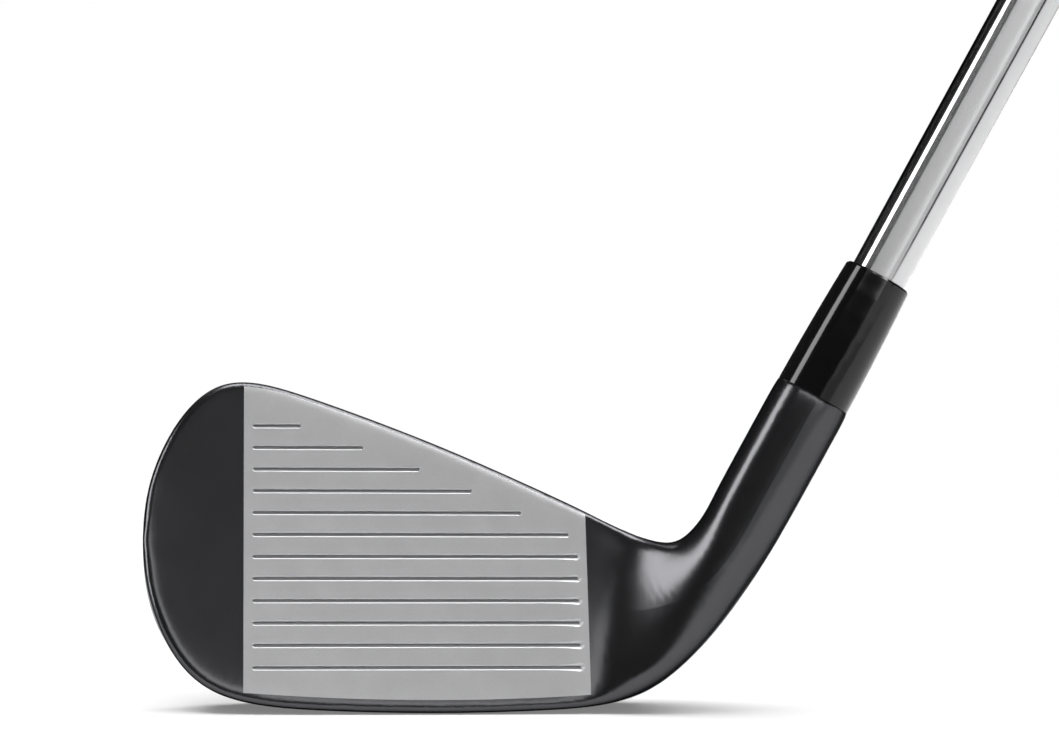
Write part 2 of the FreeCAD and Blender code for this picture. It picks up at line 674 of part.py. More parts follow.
FERRULE_END = MOUTH + [(1, "ferrule_length")]
FERRULE_BORE = SHAFT_AT_MOUTH + [(1, "ferrule_gap")]
ferrule_foot = ([(1, "ferrule_base")], MOUTH)
ferrule_head = ([(1, "ferrule_top")], FERRULE_END + [(-1, "ferrule_rim")])
ferrule = turned_piece(
    "ferrule",
    [(FERRULE_BORE, MOUTH), ferrule_foot] + bowed(ferrule_foot, ferrule_head, "ferrule_bow", 6)
    + [ferrule_head, ([(1, "ferrule_top"), (-1, "ferrule_rim")], FERRULE_END),
       (FERRULE_BORE + [(1, "tip_taper", "ferrule_length")], FERRULE_END)])

SHAFT_END = [(1, "club_length"), (-1, "cap_thick"), (-1, "butt_gap")]
TAPER_END = TIP + [(1, "taper_length")]
TAPER_RADIUS = [(1, "tip_radius"), (1, "tip_taper", "taper_length")]
steps = int(size("step_count"))
outside = [([(1, "tip_radius")], TIP)]
for step in range(steps):
    thin = 1 - step / steps
    thick = 1 - (step + 1) / steps
    place = TAPER_END + [(step, "step_pitch")]
    before = [(thin, "tip_radius"), (thin, "tip_taper", "taper_length"), (1 - thin, "butt_radius")]
    after = [(thick, "tip_radius"), (thick, "tip_taper", "taper_length"), (1 - thick, "butt_radius")]
    outside.append((before, place))
    outside.append((after, place + [(1.5,)]))
outside.append(([(1, "butt_radius")], SHAFT_END))
WALL = [(-1, "shaft_wall")]
inside = [([(1, "butt_radius")] + WALL, SHAFT_END),
          ([(1, "butt_radius")] + WALL, TAPER_END + [(steps, "step_pitch")]),
          (TAPER_RADIUS + WALL, TAPER_END),
          ([(1, "tip_radius")] + WALL, TIP)]
shaft = turned_piece("shaft", outside + inside)

tip_pin = doc.addObject("Part::Cylinder", "tip_pin")
tip_pin.Label = "tip_pin"
tip_pin.setExpression("Radius", "(sizes.tip_radius - sizes.shaft_wall - sizes.pin_gap) * 1mm")
tip_pin.setExpression("Height", "sizes.pin_length * 1mm")
tip_pin.Placement = bore.Placement
along = "(sizes.hosel_top - sizes.bore_depth + sizes.tip_gap - sizes.club_length)"
tip_pin.setExpression("Placement.Base.x", along + " * cos(sizes.lie_angle * 1deg) * 1mm")
tip_pin.setExpression("Placement.Base.z", along + " * sin(sizes.lie_angle * 1deg) * 1mm")
tip_pin.setExpression("Placement.Rotation.Angle", "(90 - sizes.lie_angle) * 1deg")

GRIP_MOUTH = [(1, "club_length"), (-1, "grip_length")]
GRIP_END = [(1, "club_length"), (-1, "cap_thick")]
TAPE_RADIUS = [(1, "butt_radius"), (1, "tape_thick")]
grip_tape = turned_piece(
    "grip_tape",
    [([(1, "butt_radius")], GRIP_MOUTH + [(4,)]), (TAPE_RADIUS, GRIP_MOUTH + [(4,)]),
     (TAPE_RADIUS, SHAFT_END), ([(1, "butt_radius")], SHAFT_END)])
grip_foot = ([(1, "grip_mouth")], GRIP_MOUTH)
grip_head = ([(1, "grip_butt")], GRIP_END)
grip = turned_piece(
    "grip",
    [(TAPE_RADIUS, GRIP_MOUTH), grip_foot] + bowed(grip_foot, grip_head, "grip_bow", 8)
    + [grip_head, (TAPE_RADIUS, GRIP_END)])
grip_end_cap = turned_piece(
    "grip_end_cap",
    [([(1, "vent_radius")], GRIP_END), ([(1, "cap_flange")], GRIP_END),
     ([(1, "cap_flange")], GRIP_END + [(1, "cap_thick"), (-1, "cap_round")]),
     ([(1, "cap_flange"), (-1, "cap_round")], [(1, "club_length")]),
     ([(1, "vent_radius")], [(1, "club_length")])])

doc.recompute()

# ---------------------------------------------------------------- checks and export

PIECES = [head_body, face_plate, toe_weight, damping_insert, hosel_bond, ferrule, shaft, tip_pin,
          grip_tape, grip, grip_end_cap]
for member in doc.Objects:
    if "Invalid" in member.State or "Error" in member.State:
        raise RuntimeError("%s did not rebuild: %s" % (member.Name, member.State))
for piece in PIECES:
    if piece.Shape.isNull() or not piece.Shape.isValid() or piece.Shape.Volume <= 0:
        raise RuntimeError("%s has no valid solid" % piece.Label)

os.makedirs("parts", exist_ok=True)
for piece in PIECES:
    piece.Shape.exportStep("parts/%s.step" % piece.Label)
    box = piece.Shape.BoundBox
    print("%-15s %2d solid  %10.1f mm3  x %8.1f %8.1f  y %6.1f %6.1f  z %8.1f %8.1f" % (
        piece.Label, len(piece.Shape.Solids), piece.Shape.Volume,
        box.XMin, box.XMax, box.YMin, box.YMax, box.ZMin, box.ZMax))
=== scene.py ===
# %% [markdown]
# # An iron golf club, dressed
# The solids already give every piece its size and its place. This lesson gives them what a
# maker's finishing room would: a black coating, a blasted face, belt polished chrome, polished
# plastic and moulded rubber. The grip is modelled anew, because its moulded pattern is real
# relief. Everything is in metres, with the origin at the middle of the grip's butt end.

# %% Load the solids and keep their box
import math

import bmesh
import bpy
from mathutils import Matrix, Vector


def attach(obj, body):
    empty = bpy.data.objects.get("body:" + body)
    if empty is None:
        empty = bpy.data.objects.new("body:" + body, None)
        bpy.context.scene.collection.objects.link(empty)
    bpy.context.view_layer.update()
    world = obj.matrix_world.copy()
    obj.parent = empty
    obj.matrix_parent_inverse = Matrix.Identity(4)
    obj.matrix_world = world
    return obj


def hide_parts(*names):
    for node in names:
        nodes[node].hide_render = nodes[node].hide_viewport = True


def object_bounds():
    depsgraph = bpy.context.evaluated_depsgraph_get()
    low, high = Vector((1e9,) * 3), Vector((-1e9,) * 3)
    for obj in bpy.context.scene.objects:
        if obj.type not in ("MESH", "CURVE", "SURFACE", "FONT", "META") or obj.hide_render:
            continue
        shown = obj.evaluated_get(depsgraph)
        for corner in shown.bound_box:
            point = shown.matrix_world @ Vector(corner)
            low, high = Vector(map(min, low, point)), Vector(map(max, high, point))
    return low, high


MM = 0.001
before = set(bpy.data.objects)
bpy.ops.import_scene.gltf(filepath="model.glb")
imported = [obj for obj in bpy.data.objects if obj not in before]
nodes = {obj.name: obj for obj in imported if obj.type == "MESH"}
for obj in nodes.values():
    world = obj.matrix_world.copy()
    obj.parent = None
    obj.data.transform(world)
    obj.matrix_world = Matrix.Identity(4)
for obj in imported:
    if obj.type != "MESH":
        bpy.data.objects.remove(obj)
solid_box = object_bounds()
print("pieces of the club:", ", ".join(sorted(nodes)))

# %% [markdown]
# The club stands as a player sets it down: sole on the floor, toe to the left, face towards us. A
# long lens from a little above the floor keeps the blade's outline free of distortion. The camera
# could be keyed by hand, but two angles, a tilt and a distance from one point on the head say the
# same thing and are easy to change.

# %% Camera
aim = Vector((-485.03, 0, -803.26)) * MM
turn, rise, tilt = math.radians(-4.916), math.radians(1.445), math.radians(0.438)
distance = 591.8 * MM
back = Vector((math.sin(turn) * math.cos(rise), -math.cos(turn) * math.cos(rise), math.sin(rise)))
right = Vector((math.cos(turn), math.sin(turn), 0))
up = back.cross(right)
level = right * math.cos(tilt) + up * math.sin(tilt)
plumb = up * math.cos(tilt) - right * math.sin(tilt)
camera = bpy.data.objects.new("camera", bpy.data.cameras.new("camera"))
bpy.context.scene.collection.objects.link(camera)
camera.data.lens = 124.08
camera.data.sensor_width = 36
camera.data.clip_end = 50
turned = Matrix((level, plumb, back)).transposed().to_4x4()
camera.matrix_world = Matrix.Translation(aim + back * distance) @ turned
bpy.context.scene.camera = camera
bpy.context.scene.view_settings.view_transform = "Standard"
print("camera at", [round(c / MM) for c in camera.location], "mm")

# %% [markdown]
# Makers name colours in sRGB, and shaders count in linear light, so one function turns the first
# into the second. A second small function adds a node with its settings and its links. With the
# two of them a material reads like a recipe, from the coordinates to the shader. Two more start
# an empty material and put a finished one on a solid, so that no cell repeats those lines.

# %% Colours and nodes


def tint(code):
    """A colour written as sRGB hex, as the linear numbers that shaders use."""
    parts = [int(code[i:i + 2], 16) / 255 for i in (1, 3, 5)]
    return [p / 12.92 if p <= 0.04045 else ((p + 0.055) / 1.055) ** 2.4 for p in parts] + [1]


def add(tree, kind, inputs, **settings):
    """A node of a material, with its settings, its numbers and the sockets that feed it."""
    node = tree.nodes.new(kind)
    for name, value in settings.items():
        setattr(node, name, value)
    for name, value in inputs.items():
        if isinstance(value, bpy.types.NodeSocket):
            tree.links.new(value, node.inputs[name])
        else:
            node.inputs[name].default_value = value
    return node


def new_material(name):
    """An empty material, its tree, and the place of each point in the club's own metres."""
    made = bpy.data.materials.new(name)
    made.use_nodes = True
    made.node_tree.nodes.clear()
    place = add(made.node_tree, "ShaderNodeTexCoord", {}).outputs["Object"]
    return made, made.node_tree, place


def wear(node, made):
    """Gives a carried-over solid its finish."""
    for slot in nodes[node].material_slots:
        slot.material = made


print("mid grey #808080 is", round(tint("#808080")[0], 3), "in linear light")

# %% [markdown]
# The head is cast steel with a thin black nitride coating. On the real thing it was tumbled and
# then coated, which leaves a satin mirror: dark, but with soft clear reflections of the studio. A
# coating like this is a conductor, so it is metallic, and its edge colour is kept low so that it
# doesn't turn bright where the surface turns away. Tumbling leaves faint haze about 9 mm across,
# and a grit of a third of a millimetre that is drawn coarser than the real one, or it wouldn't
# show.

# %% Nitrided black steel
black_steel, tree, place = new_material("nitrided_black_steel")
haze = add(tree, "ShaderNodeTexNoise", {"Vector": place, "Scale": 1 / (9 * MM), "Detail": 3})
grit = add(tree, "ShaderNodeTexNoise", {"Vector": place, "Scale": 1 / (0.35 * MM), "Detail": 2})
satin = add(tree, "ShaderNodeMapRange", {
    "Value": haze.outputs["Fac"], "To Min": 0.18, "To Max": 0.24})
tone = add(tree, "ShaderNodeMix", {0: haze.outputs["Fac"], 6: tint("#49494b"), 7: tint("#515153")},
           data_type="RGBA")
tumbled = add(tree, "ShaderNodeBump", {
    "Height": grit.outputs["Fac"], "Strength": 0.15, "Distance": 0.01 * MM})
shader = add(tree, "ShaderNodeBsdfPrincipled", {
    "Base Color": tone.outputs[2], "Metallic": 0.94, "Roughness": satin.outputs["Result"],
    "Specular Tint": tint("#68686a"), "Normal": tumbled.outputs["Normal"]})
add(tree, "ShaderNodeOutputMaterial", {"Surface": shader.outputs[0]})
wear("head_body", black_steel)
print("head_body wears", black_steel.name)

# %% [markdown]
# The face panel is bare forged steel, blasted with fine beads, and its score lines are milled
# after that. The lines get painted shade: a darker tone on their walls, for the shade that falls
# into the slots. It could be a material of its own, but the lines are real slots, so their depth
# can say where they are: a point a few hundredths of a millimetre behind the flat of the face is
# in a line. The panel's rounded edges lie behind it too, so two heights and a slope along the
# blade's top keep the mask off them. The result is one number, 1 in a line and 0 beside it, made
# of four ramps that are multiplied.

# %% Blasted steel: where the score lines are
FACE_NORMAL, FACE_LEVEL = (0, -0.9271839, 0.3746066), -318.965 * MM
CUT_STARTS, CUT_FULL = 0.01 * MM, 0.07 * MM
TOP_SLOPE, TOP_LEVEL = (0.3414, 0, 1), -990.3 * MM
LINES_FROM, LINES_TO, RAMP = -854.5 * MM, -812.3 * MM, 0.5 * MM
blasted_steel, tree, place = new_material("bead_blasted_steel")
sunk = add(tree, "ShaderNodeVectorMath", {0: place, 1: FACE_NORMAL}, operation="DOT_PRODUCT")
cut = add(tree, "ShaderNodeMapRange", {
    "Value": sunk.outputs["Value"],
    "From Min": FACE_LEVEL - CUT_STARTS, "From Max": FACE_LEVEL - CUT_FULL})
under_top = add(tree, "ShaderNodeVectorMath", {0: place, 1: TOP_SLOPE}, operation="DOT_PRODUCT")
inside = add(tree, "ShaderNodeMapRange", {
    "Value": under_top.outputs["Value"], "From Min": TOP_LEVEL, "From Max": TOP_LEVEL - RAMP})
height = add(tree, "ShaderNodeSeparateXYZ", {"Vector": place})
above = add(tree, "ShaderNodeMapRange", {
    "Value": height.outputs["Z"], "From Min": LINES_FROM, "From Max": LINES_FROM + RAMP})
below = add(tree, "ShaderNodeMapRange", {
    "Value": height.outputs["Z"], "From Min": LINES_TO, "From Max": LINES_TO - RAMP})
side = add(tree, "ShaderNodeMath", {0: inside.outputs[0], 1: below.outputs[0]},
           operation="MULTIPLY")
zone = add(tree, "ShaderNodeMath", {0: side.outputs[0], 1: above.outputs[0]},
           operation="MULTIPLY")
lines = add(tree, "ShaderNodeMath", {0: zone.outputs[0], 1: cut.outputs[0]},
            operation="MULTIPLY")
print("score lines lie between", round(LINES_FROM / MM, 1), "and", round(LINES_TO / MM, 1), "mm")

# %% [markdown]
# Blasting gives a silvery grey that spreads every reflection evenly. Two noises do it: one of
# about 0.3 mm for the craters, coarser than the real beads leave so that it shows, and one of 5
# mm for the cloudy tone that hand blasting always leaves.

# %% Blasted steel: tone, craters and painted shade in the lines
# Painted shade: the darker tone that the score lines take, for the shade in the slots.
LINE_SHADE_TONE = "#a8a8aa"
cloud = add(tree, "ShaderNodeTexNoise", {"Vector": place, "Scale": 1 / (5 * MM), "Detail": 4})
grain = add(tree, "ShaderNodeTexNoise", {"Vector": place, "Scale": 1 / (0.3 * MM), "Detail": 3})
both = add(tree, "ShaderNodeMix", {0: 0.5, 2: cloud.outputs["Fac"], 3: grain.outputs["Fac"]})
tone = add(tree, "ShaderNodeMix", {0: both.outputs[0], 6: tint("#b3b3b4"), 7: tint("#cacacb")},
           data_type="RGBA")
# Painted shade: inside the score lines the tone turns darker.
line_shade = add(tree, "ShaderNodeMix", {0: lines.outputs[0], 6: tone.outputs[2], 7: tint(LINE_SHADE_TONE)},
             data_type="RGBA")
spread = add(tree, "ShaderNodeMapRange", {
    "Value": cloud.outputs["Fac"], "To Min": 0.46, "To Max": 0.54})
craters = add(tree, "ShaderNodeBump", {
    "Height": grain.outputs["Fac"], "Strength": 0.3, "Distance": 0.02 * MM})
shader = add(tree, "ShaderNodeBsdfPrincipled", {
    "Base Color": line_shade.outputs[2], "Metallic": 1.0, "Roughness": spread.outputs["Result"],
    "Normal": craters.outputs["Normal"]})
add(tree, "ShaderNodeOutputMaterial", {"Surface": shader.outputs[0]})
wear("face_plate", blasted_steel)
print("face_plate wears", blasted_steel.name)

# %% [markdown]
# The shaft is a drawn steel tube with chrome plating, polished on a belt that runs round it. The
# belt's fine rings blur reflections along the tube and leave them crisp across it, which is why
# chrome tubes look striped. An anisotropic shader does just that, and it needs the direction
# along the tube at each point: the axis with the part along the normal taken out. Wiping leaves a
# very faint change of tone, about 14 mm across.

# %% Belt polished chrome
SHAFT_AXIS = (0.4771588, 0, 0.8788171)
chrome, tree, place = new_material("belt_polished_chrome")
normal = add(tree, "ShaderNodeNewGeometry", {}).outputs["Normal"]
around = add(tree, "ShaderNodeVectorMath", {0: normal, 1: SHAFT_AXIS}, operation="CROSS_PRODUCT")
along = add(tree, "ShaderNodeVectorMath", {0: around.outputs["Vector"], 1: normal},
            operation="CROSS_PRODUCT")
wipe = add(tree, "ShaderNodeTexNoise", {"Vector": place, "Scale": 1 / (14 * MM), "Detail": 2})
tone = add(tree, "ShaderNodeMix", {0: wipe.outputs["Fac"], 6: tint("#cdcdce"), 7: tint("#d1d1d2")},
           data_type="RGBA")
shader = add(tree, "ShaderNodeBsdfPrincipled", {
    "Base Color": tone.outputs[2], "Metallic": 1.0, "Roughness": 0.22, "Anisotropic": 1.0,
    "Tangent": along.outputs["Vector"]})
add(tree, "ShaderNodeOutputMaterial", {"Surface": shader.outputs[0]})
wear("shaft", chrome)
print("shaft wears", chrome.name)

# %% [markdown]
# The ferrule is a collar of black cellulose plastic, turned to the hosel's size and then wiped
# with solvent, which melts the surface to a wet gloss. That is a smooth dielectric: black below,
# clear white reflections on top. Handling leaves it a little uneven, so its roughness wanders
# slightly.

# %% Polished cellulose
plastic, tree, place = new_material("polished_cellulose")
smear = add(tree, "ShaderNodeTexNoise", {"Vector": place, "Scale": 1 / (4 * MM), "Detail": 2})
gloss = add(tree, "ShaderNodeMapRange", {
    "Value": smear.outputs["Fac"], "To Min": 0.08, "To Max": 0.12})
tone = add(tree, "ShaderNodeMix", {0: smear.outputs["Fac"], 6: tint("#0a0a0b"), 7: tint("#0c0c0d")},
           data_type="RGBA")
shader = add(tree, "ShaderNodeBsdfPrincipled", {
    "Base Color": tone.outputs[2], "Roughness": gloss.outputs["Result"], "Specular IOR Level": 0.4})
add(tree, "ShaderNodeOutputMaterial", {"Surface": shader.outputs[0]})
wear("ferrule", plastic)
print("ferrule wears", plastic.name)

# %% [markdown]
# A grip is natural rubber mixed with carbon black and moulded hot. New rubber is dark grey rather
# than black, dull, and slightly dusty, and the mould's sand finish shows as a fine grain. The
# dust dulls its reflections too, so their level is lower than a clean plastic's. The sleeve and
# the cap at its end come from two moulds: the cap's is smoother, so it is a shade glossier.

# %% Moulded rubber
rubber_finishes = {}
for name, grain_mm, low_rough, high_rough, dark, light in (
        ("moulded_grip_rubber", 0.5, 0.55, 0.70, "#151515", "#232324"),
        ("moulded_cap_rubber", 0.9, 0.50, 0.60, "#171717", "#1e1e1f")):
    made, tree, place = new_material(name)
    grain = add(tree, "ShaderNodeTexNoise", {
        "Vector": place, "Scale": 1 / (grain_mm * MM), "Detail": 2})
    dust = add(tree, "ShaderNodeTexNoise", {"Vector": place, "Scale": 1 / (6 * MM), "Detail": 4})
    tone = add(tree, "ShaderNodeMix", {0: dust.outputs["Fac"], 6: tint(dark), 7: tint(light)},
               data_type="RGBA")
    dull = add(tree, "ShaderNodeMapRange", {
        "Value": dust.outputs["Fac"], "To Min": low_rough, "To Max": high_rough})
    sand = add(tree, "ShaderNodeBump", {
        "Height": grain.outputs["Fac"], "Strength": 0.4, "Distance": 0.05 * MM})
    shader = add(tree, "ShaderNodeBsdfPrincipled", {
        "Base Color": tone.outputs[2], "Roughness": dull.outputs["Result"],
        "Specular IOR Level": 0.3, "Normal": sand.outputs["Normal"]})
    add(tree, "ShaderNodeOutputMaterial", {"Surface": shader.outputs[0]})
    rubber_finishes[name] = made
wear("grip_end_cap", rubber_finishes["moulded_cap_rubber"])
print("rubber finishes:", ", ".join(rubber_finishes))

# %% [markdown]
# Five pieces are out of sight inside the club, and each still has the finish of its real stuff,
# for the reader who takes the club apart. One loop makes them, because they differ only in
# numbers: whether it is metal, two tones, the size of the grain in millimetres, the least and the
# most roughness, and how deep the grain goes. Sintered tungsten is a dull grey metal full of tiny
# pores. A cast elastomer is a milky dark grey. Cured epoxy is amber and glassy. Paper tape is
# cream with fine crinkles, and turned brass is yellow.

# %% Finishes inside the club
for node, name, metallic, dark, light, grain_mm, low_rough, high_rough, deep in (
        ("toe_weight", "sintered_tungsten", 1.0, "#8a8886", "#a19f9c", 0.4, 0.45, 0.60, 0.03),
        ("damping_insert", "cast_polyurethane", 0.0, "#2b2b2e", "#343437", 3.0, 0.50, 0.60, 0.01),
        ("hosel_bond", "cured_epoxy", 0.0, "#9c7f45", "#b59857", 2.0, 0.12, 0.25, 0.01),
        ("tip_pin", "turned_brass", 1.0, "#b5893c", "#caa050", 0.8, 0.22, 0.34, 0.01),
        ("grip_tape", "creped_paper_tape", 0.0, "#cfc3a0", "#ded4b6", 0.7, 0.80, 0.90, 0.05)):
    made, tree, place = new_material(name)
    grain = add(tree, "ShaderNodeTexNoise", {
        "Vector": place, "Scale": 1 / (grain_mm * MM), "Detail": 3})
    tone = add(tree, "ShaderNodeMix", {0: grain.outputs["Fac"], 6: tint(dark), 7: tint(light)},
               data_type="RGBA")
    dull = add(tree, "ShaderNodeMapRange", {
        "Value": grain.outputs["Fac"], "To Min": low_rough, "To Max": high_rough})
    relief = add(tree, "ShaderNodeBump", {
        "Height": grain.outputs["Fac"], "Strength": 0.5, "Distance": deep * MM})
    shader = add(tree, "ShaderNodeBsdfPrincipled", {
        "Base Color": tone.outputs[2], "Metallic": metallic, "Roughness": dull.outputs["Result"],
        "Normal": relief.outputs["Normal"]})
    add(tree, "ShaderNodeOutputMaterial", {"Surface": shader.outputs[0]})
    wear(node, made)
    print(node, "wears", name)

# %% [markdown]
# The grip is a rubber sleeve, 265 mm long, moulded with thousands of small diamond pits for hold.
# It could be a smooth sleeve with a bump map, but pits almost half a millimetre deep change its
# outline, so they are modelled. Its wall is drawn as four corners, the long outer side is divided
# and bowed in by 0.7 mm at its middle, and a full spin round the shaft's axis turns it into a
# sleeve. Working along plain Z first and tipping the finished sleeve into the club's lean keeps
# the numbers easy to read.

# %% Grip: the sleeve
GRIP_FROM, GRIP_TO = 2.6 * MM, 268.0 * MM
BUTT_RADIUS, MOUTH_RADIUS, BORE_RADIUS, HOLLOW = 13.1 * MM, 8.7 * MM, 7.77 * MM, 0.7 * MM
RINGS, SPOKES = 212, 72
NEAR_BORE = BORE_RADIUS + 0.1 * MM
sleeve = bmesh.new()
corners = [sleeve.verts.new(corner) for corner in (
    (BORE_RADIUS, 0, -GRIP_FROM), (BUTT_RADIUS, 0, -GRIP_FROM),
    (MOUTH_RADIUS, 0, -GRIP_TO), (BORE_RADIUS, 0, -GRIP_TO))]
sides = [sleeve.edges.new((corners[i], corners[(i + 1) % 4])) for i in range(4)]
bmesh.ops.subdivide_edges(sleeve, edges=[sides[1]], cuts=RINGS - 1)
for point in sleeve.verts:
    if point.co.x > NEAR_BORE:
        share = (point.co.z + GRIP_TO) / (GRIP_TO - GRIP_FROM)
        point.co.x -= 4 * HOLLOW * share * (1 - share)
bmesh.ops.spin(sleeve, geom=sleeve.verts[:] + sleeve.edges[:], cent=(0, 0, 0), axis=(0, 0, 1),
               dvec=(0, 0, 0), angle=2 * math.pi, steps=SPOKES, use_merge=True, use_duplicate=False)
bmesh.ops.remove_doubles(sleeve, verts=sleeve.verts, dist=0.001 * MM)
bmesh.ops.recalc_face_normals(sleeve, faces=sleeve.faces)
print("sleeve:", len(sleeve.verts), "points,", len(sleeve.faces), "faces")

# %% [markdown]
# Now the relief. Every second point of the grid, in a chequer, is pushed in, and each one pulls
# the four faces round it into a small diamond pit. Plain bands are left at the butt, at the mouth
# and in three places between, where such grips have smooth rings. Round the middle of every band
# but the one at the butt runs a groove.

# %% Grip: pits and rings
PIT, GROOVE = 0.45 * MM, 0.5 * MM
PLAIN_BANDS = ((0, 12.0), (66.0, 72.0), (130.0, 136.0), (194.0, 200.0), (254.0, 269.0))
pitch = (GRIP_TO - GRIP_FROM) / RINGS
groove_reach = 0.7 * pitch / MM
pits = 0
for point in sleeve.verts:
    radius = math.hypot(point.co.x, point.co.y)
    ring = round((-point.co.z - GRIP_FROM) / pitch)
    spoke = round(math.atan2(point.co.y, point.co.x) / (2 * math.pi) * SPOKES)
    if radius < NEAR_BORE or ring in (0, RINGS):
        continue
    reach = -point.co.z / MM
    band = [b for b in PLAIN_BANDS if b[0] <= reach <= b[1]]
    if not band and (ring + spoke) % 2 == 0:
        depth = PIT
        pits += 1
    elif band and band[0][0] > 0 and abs(reach - sum(band[0]) / 2) < groove_reach:
        depth = GROOVE
    else:
        continue
    point.co.x *= 1 - depth / radius
    point.co.y *= 1 - depth / radius
lean = Vector((0, 0, 1)).rotation_difference(Vector(SHAFT_AXIS)).to_matrix()
bmesh.ops.rotate(sleeve, verts=sleeve.verts, cent=(0, 0, 0), matrix=lean)
for face in sleeve.faces:
    face.smooth = True
print("grip has", pits, "pits of", round(PIT / MM, 2), "mm")

# %% [markdown]
# The sleeve takes the place of the plain solid, which stays for the physics. It rides on the
# club's one body and wears the grip rubber. Edges sharper than 40 degrees, at the two ends and in
# the grooves, are marked so that the smooth shading doesn't run over them.

# %% Grip: into place
SHARP = math.radians(40)
for edge in sleeve.edges:
    edge.smooth = len(edge.link_faces) == 2 and edge.calc_face_angle() < SHARP
grip = bpy.data.objects.new("grip_sleeve", bpy.data.meshes.new("grip_sleeve"))
sleeve.to_mesh(grip.data)
sleeve.free()
bpy.context.scene.collection.objects.link(grip)
grip.data.materials.append(rubber_finishes["moulded_grip_rubber"])
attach(grip, "root")
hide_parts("grip")
print("grip_sleeve:", len(grip.data.polygons), "faces")

# %% [markdown]
# The floor is a plain white table top, one flat sheet at the level of the sole. A sheet needs no
# thickness, because nobody sees under it. Its middle is under the head, and it reaches further to
# the front than to the back, because the club mirrors what lies in front of it.

# %% Floor: the sheet
floor_level = solid_box[0][2]
head_middle = Vector((-0.49, 0, floor_level))
HALF_WIDTH, HALF_DEPTH, FORWARD = 2.0, 1.3, Vector((0, -0.4, 0))
sheet = bmesh.new()
bmesh.ops.create_grid(sheet, x_segments=1, y_segments=1, size=1)
bmesh.ops.scale(sheet, verts=sheet.verts, vec=(HALF_WIDTH, HALF_DEPTH, 1))
bmesh.ops.translate(sheet, verts=sheet.verts, vec=head_middle + FORWARD)
floor = bpy.data.objects.new("floor", bpy.data.meshes.new("floor"))
sheet.to_mesh(floor.data)
sheet.free()
bpy.context.scene.collection.objects.link(floor)
print("floor at", round(floor_level / MM, 2), "mm")

# %% [markdown]
# Around the head the floor is real, so that it takes the shadow and shows in the coating's
# reflections. In front of the head, where the fade hides it from the camera, a darker tone is
# painted on the floor as painted shade, for the dimmer light out there, and it is what the
# underside of the blade and of the hosel mirrors. It ends before the place that the shaft
# mirrors, so the chrome keeps its bright band. The painted shade could be a second sheet, but a
# darker tone on the same one leaves no step. Further out, what the camera sees of the floor
# fades into the white wall behind, as on a studio's curved backdrop, so no edge shows from any
# side. A fifth of that glow is mixed in near the head too, and softens the shadow.

# %% Floor: its finish, with painted shade in front
# Painted shade: in front of the head the floor's tone drops to less than half, for the dimmer light
# there.
SHADE_EDGE, SHADE_END, SHADE_TONE, TABLE_WHITE = -140 * MM, -200 * MM, 0.46, "#d9d9d9"
EDGE_BLUR, END_BLUR = 2 * MM, 60 * MM
FADE_FROM, FADE_TO, LEAST_GLOW = 300 * MM, 600 * MM, 0.2
FRONT_FROM, FRONT_TO = -90 * MM, -130 * MM
white, tree, place = new_material("white_table_top")
ground = add(tree, "ShaderNodeSeparateXYZ", {"Vector": place})
before = add(tree, "ShaderNodeMapRange", {
    "Value": ground.outputs["Y"], "To Max": 1 - SHADE_TONE,
    "From Min": SHADE_EDGE, "From Max": SHADE_EDGE - EDGE_BLUR})
beside = add(tree, "ShaderNodeMapRange", {
    "Value": ground.outputs["X"], "From Min": SHADE_END, "From Max": SHADE_END - END_BLUR})
# Painted shade: where both ramps are on, the floor is darkened.
front_shade = add(tree, "ShaderNodeMath", {0: before.outputs[0], 1: beside.outputs[0]},
            operation="MULTIPLY")
tone = add(tree, "ShaderNodeMix", {0: front_shade.outputs[0], 6: tint(TABLE_WHITE), 7: tint("#000000")},
           data_type="RGBA")
away = add(tree, "ShaderNodeVectorMath", {0: place, 1: head_middle}, operation="DISTANCE")
far = add(tree, "ShaderNodeMapRange", {
    "Value": away.outputs["Value"], "To Min": LEAST_GLOW,
    "From Min": FADE_FROM, "From Max": FADE_TO})
front = add(tree, "ShaderNodeMapRange", {
    "Value": ground.outputs["Y"], "From Min": FRONT_FROM, "From Max": FRONT_TO})
hidden = add(tree, "ShaderNodeMath", {0: far.outputs[0], 1: front.outputs[0]},
             operation="MAXIMUM")
seen = add(tree, "ShaderNodeLightPath", {})
faded = add(tree, "ShaderNodeMath", {0: hidden.outputs[0], 1: seen.outputs["Is Camera Ray"]},
            operation="MULTIPLY")
near_top = add(tree, "ShaderNodeBsdfDiffuse", {"Color": tone.outputs[2]})
far_top = add(tree, "ShaderNodeEmission", {"Color": tint("#ffffff"), "Strength": 1.0})
shader = add(tree, "ShaderNodeMixShader", {
    0: faded.outputs[0], 1: near_top.outputs[0], 2: far_top.outputs[0]})
add(tree, "ShaderNodeOutputMaterial", {"Surface": shader.outputs[0]})
floor.data.materials.append(white)
print("floor wears", white.name)

# %% [markdown]
# Dark glossy things are lit by what they mirror. The room itself is kept almost black, so that
# black stays black, while the camera sees a white wall. The room's only job in reflections is to
# be the dark between the lights.

# %% Room
ROOM_GLOW, WALL_GLOW = 0.03, 1.0
world = bpy.data.worlds.new("studio")
bpy.context.scene.world = world
world.use_nodes = True
tree = world.node_tree
tree.nodes.clear()
ray = add(tree, "ShaderNodeLightPath", {})
room = add(tree, "ShaderNodeBackground", {"Color": tint("#ffffff"), "Strength": ROOM_GLOW})
wall = add(tree, "ShaderNodeBackground", {"Color": tint("#ffffff"), "Strength": WALL_GLOW})
sky = add(tree, "ShaderNodeMixShader", {
    0: ray.outputs["Is Camera Ray"], 1: room.outputs[0], 2: wall.outputs[0]})
add(tree, "ShaderNodeOutputWorld", {"Surface": sky.outputs[0]})
print("the room glows", ROOM_GLOW, "in reflections and", WALL_GLOW, "to the camera")

